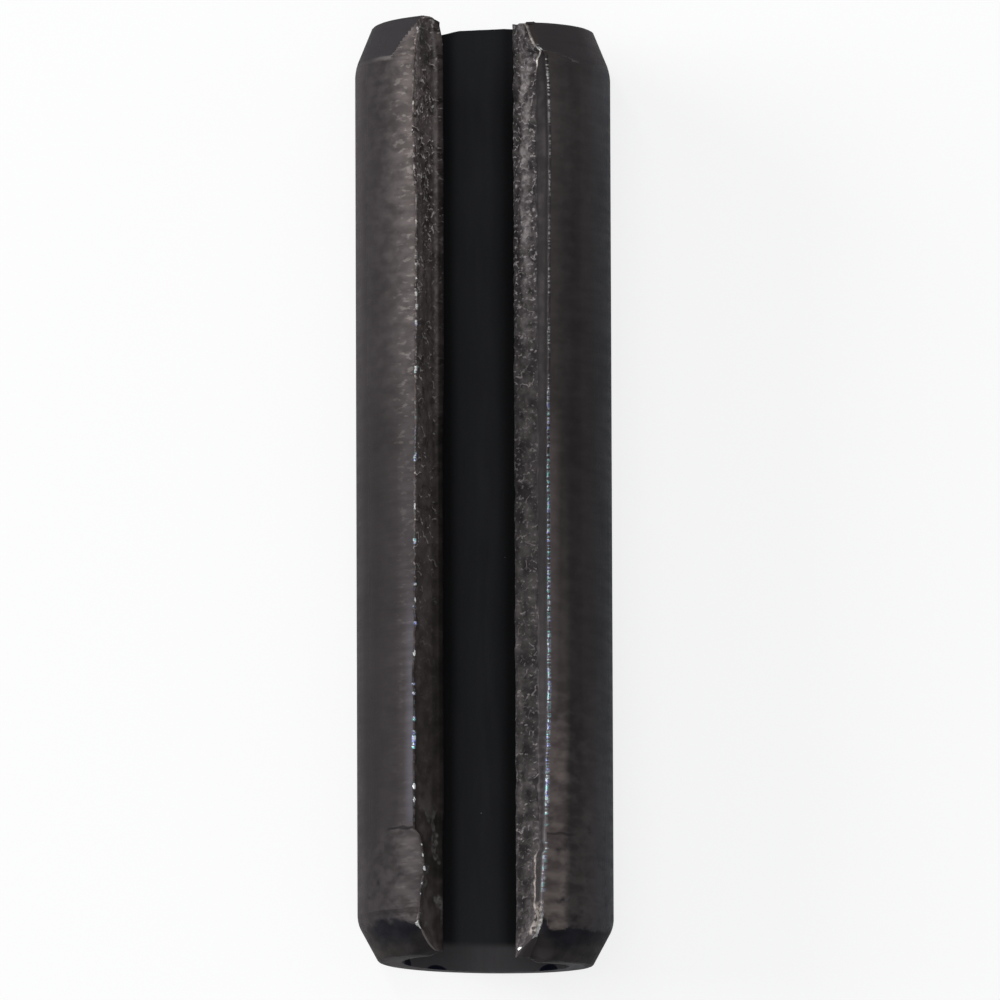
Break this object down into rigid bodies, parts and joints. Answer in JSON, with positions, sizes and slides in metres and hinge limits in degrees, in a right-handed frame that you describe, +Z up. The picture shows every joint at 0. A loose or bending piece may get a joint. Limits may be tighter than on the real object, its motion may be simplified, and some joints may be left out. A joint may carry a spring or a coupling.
{
  "type": "slotted spring pin",
  "caption": "Tubular spring steel pin with a full-length slot, sheared slot faces and a chamfered nose at each end, driven into a round hole to lock or pivot parts.",
  "frame": {"origin": "on the floor under the middle of the pin, which lies on its back", "axes": "+Y along the pin's axis, towards the slimmer nose; +Z up, the way the slot faces"},
  "size_m": [0.0086, 0.0318, 0.008],
  "materials": {
    "spring_steel": "black oxide on hardened spring steel, dark grey-brown, satin, with torn bare spots on the slot faces"
  },
  "bodies": {
    "root": {"spring_pin": "spring_steel"}
  },
  "joints": []
}
